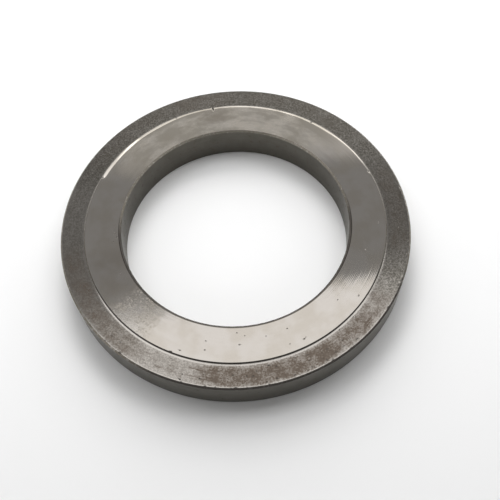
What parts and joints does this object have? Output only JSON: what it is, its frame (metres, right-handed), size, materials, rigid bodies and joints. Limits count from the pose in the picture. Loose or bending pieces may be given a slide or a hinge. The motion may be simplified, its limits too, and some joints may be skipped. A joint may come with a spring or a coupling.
{
  "type": "raised face flange ring",
  "caption": "Turned steel flange ring without bolt holes: a flat rim band, a slightly raised sealing face and a plain through bore for pipe.",
  "frame": {"origin": "centre of the back face, on the bore axis, which is the surface the ring lies on", "axes": "+Z along the bore axis, out of the raised face; the ring is the same all round, so X and Y are free"},
  "size_m": [0.175, 0.175, 0.0184],
  "materials": {
    "flange_steel": "bare carbon steel, fine turned on the raised face and bore, rougher and lightly stained and pitted on the rim band and outer wall"
  },
  "bodies": {
    "root": {"flange_ring": "flange_steel"}
  },
  "joints": []
}
